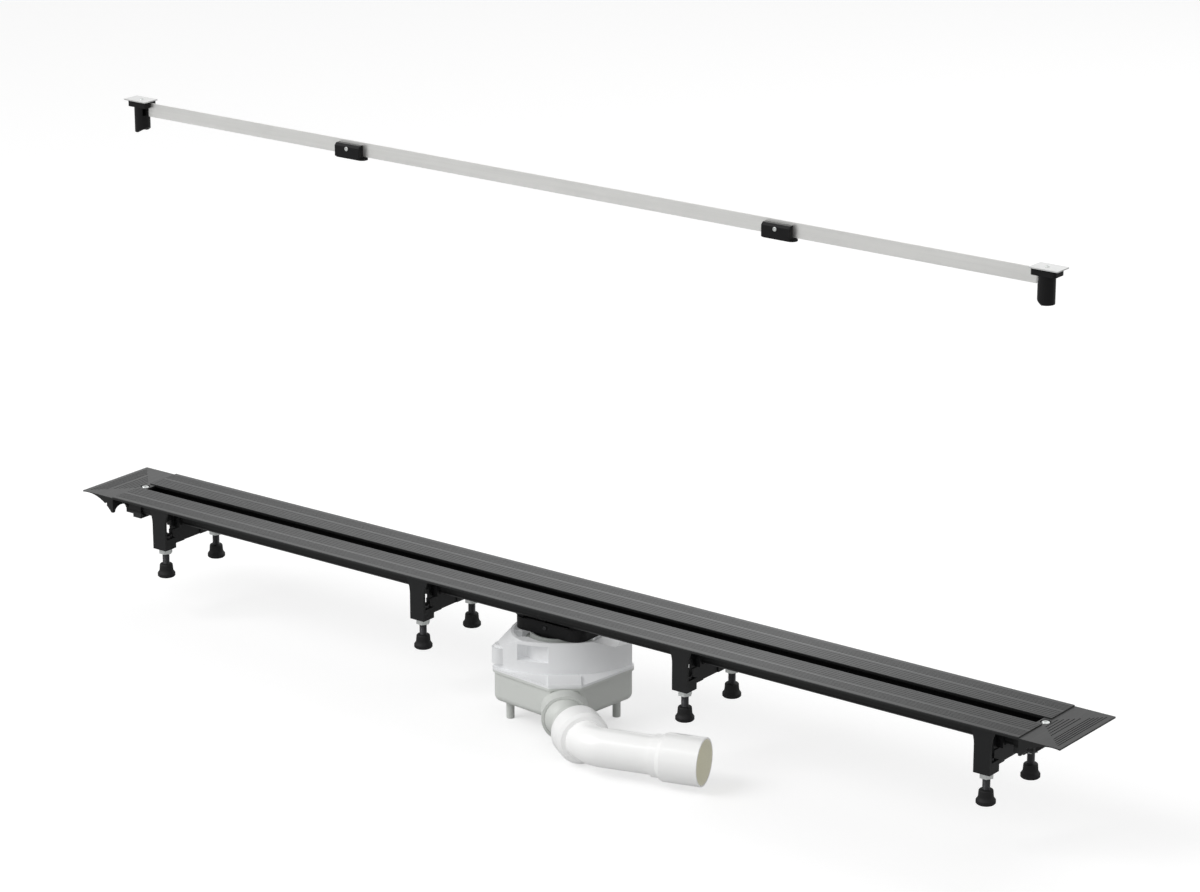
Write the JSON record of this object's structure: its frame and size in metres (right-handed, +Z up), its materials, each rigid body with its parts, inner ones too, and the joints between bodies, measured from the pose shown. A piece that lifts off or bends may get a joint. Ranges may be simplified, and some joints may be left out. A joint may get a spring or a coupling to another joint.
{
  "type": "channel drain",
  "caption": "Linear shower channel with ribbed flange, levelling feet, slot insert and a water trap with a ball-jointed outlet pipe.",
  "frame": {"origin": "on the plane that the trap's pegs stand on, under the middle of the channel and the axis of its outlet spigot", "axes": "+X along the channel, -Y towards the side that the outlet leaves on, +Z up"},
  "size_m": [1.26, 0.1816, 0.5761],
  "materials": {
    "profile_grey": "fine lengthwise ribbing, satin",
    "end_grey": "moulded, satin",
    "bracket_black": "moulded, satin",
    "black_plastic": "moulded, satin",
    "rod_black": "black passivated steel",
    "pad_rubber": "moulded rubber",
    "seal_rubber": "smooth lip rubber",
    "zinc": "zinc plated",
    "strip_steel": "brushed lengthwise",
    "plate_steel": "brushed",
    "tub_grey": "moulded, light grey green",
    "cup_grey": "moulded, light grey",
    "lid_white": "moulded, off white",
    "pipe_white": "white, half gloss"
  },
  "bodies": {
    "drain": {"channel_profile": "profile_grey", "end_piece_left": "end_grey", "end_piece_right": "end_grey", "end_screws": "zinc", "foot_bracket_1": "bracket_black", "foot_bracket_2": "bracket_black", "foot_bracket_3": "bracket_black", "foot_bracket_4": "bracket_black", "captive_nuts": "zinc", "lock_nuts": "zinc", "outlet_spigot": "black_plastic", "spigot_screws": "zinc", "inlet_seal": "seal_rubber", "trap_lid": "lid_white", "trap_body": "tub_grey", "trap_insert": "cup_grey"},
    "nozzle": {"outlet_ball": "tub_grey", "union_nut": "pipe_white", "outlet_seal": "seal_rubber"},
    "elbow": {"outlet_elbow": "pipe_white", "outlet_adapter": "pipe_white"},
    "insert": {"insert_strip": "strip_steel", "insert_plate_left": "plate_steel", "insert_plate_right": "plate_steel", "insert_clip_left": "black_plastic", "insert_clip_right": "black_plastic", "retainer_left": "black_plastic", "retainer_right": "black_plastic", "retainer_screws": "zinc", "plate_screws": "zinc"},
    "foot_1_front": {"foot_rod_1_front": "rod_black", "foot_pad_1_front": "pad_rubber"},
    "foot_1_back": {"foot_rod_1_back": "rod_black", "foot_pad_1_back": "pad_rubber"},
    "foot_2_front": {"foot_rod_2_front": "rod_black", "foot_pad_2_front": "pad_rubber"},
    "foot_2_back": {"foot_rod_2_back": "rod_black", "foot_pad_2_back": "pad_rubber"},
    "foot_3_front": {"foot_rod_3_front": "rod_black", "foot_pad_3_front": "pad_rubber"},
    "foot_3_back": {"foot_rod_3_back": "rod_black", "foot_pad_3_back": "pad_rubber"},
    "foot_4_front": {"foot_rod_4_front": "rod_black", "foot_pad_4_front": "pad_rubber"},
    "foot_4_back": {"foot_rod_4_back": "rod_black", "foot_pad_4_back": "pad_rubber"}
  },
  "joints": [
    {"name": "insert_lift", "type": "slide", "parent": "drain", "child": "insert", "axis": [0, 0, 1], "range_m": [-0.43, 0]},
    {"name": "outlet_swivel", "type": "hinge", "parent": "drain", "child": "nozzle", "pos_m": [0.05883, -0.06586, 0.03], "axis": [0, 0, 1], "range_deg": [-32, 0]},
    {"name": "elbow_turn", "type": "hinge", "parent": "nozzle", "child": "elbow", "pos_m": [0.05883, -0.06586, 0.03], "axis": [0.8192, -0.5736, 0], "range_deg": [0, 180]},
    {"name": "foot_1_front_height", "type": "slide", "parent": "drain", "child": "foot_1_front", "axis": [0, 0, -1], "range_m": [-0.01, 0.005]},
    {"name": "foot_1_back_height", "type": "slide", "parent": "drain", "child": "foot_1_back", "axis": [0, 0, -1], "range_m": [-0.01, 0.005]},
    {"name": "foot_2_front_height", "type": "slide", "parent": "drain", "child": "foot_2_front", "axis": [0, 0, -1], "range_m": [-0.01, 0.005]},
    {"name": "foot_2_back_height", "type": "slide", "parent": "drain", "child": "foot_2_back", "axis": [0, 0, -1], "range_m": [-0.01, 0.005]},
    {"name": "foot_3_front_height", "type": "slide", "parent": "drain", "child": "foot_3_front", "axis": [0, 0, -1], "range_m": [-0.01, 0.005]},
    {"name": "foot_3_back_height", "type": "slide", "parent": "drain", "child": "foot_3_back", "axis": [0, 0, -1], "range_m": [-0.01, 0.005]},
    {"name": "foot_4_front_height", "type": "slide", "parent": "drain", "child": "foot_4_front", "axis": [0, 0, -1], "range_m": [-0.01, 0.005]},
    {"name": "foot_4_back_height", "type": "slide", "parent": "drain", "child": "foot_4_back", "axis": [0, 0, -1], "range_m": [-0.01, 0.005]}
  ]
}
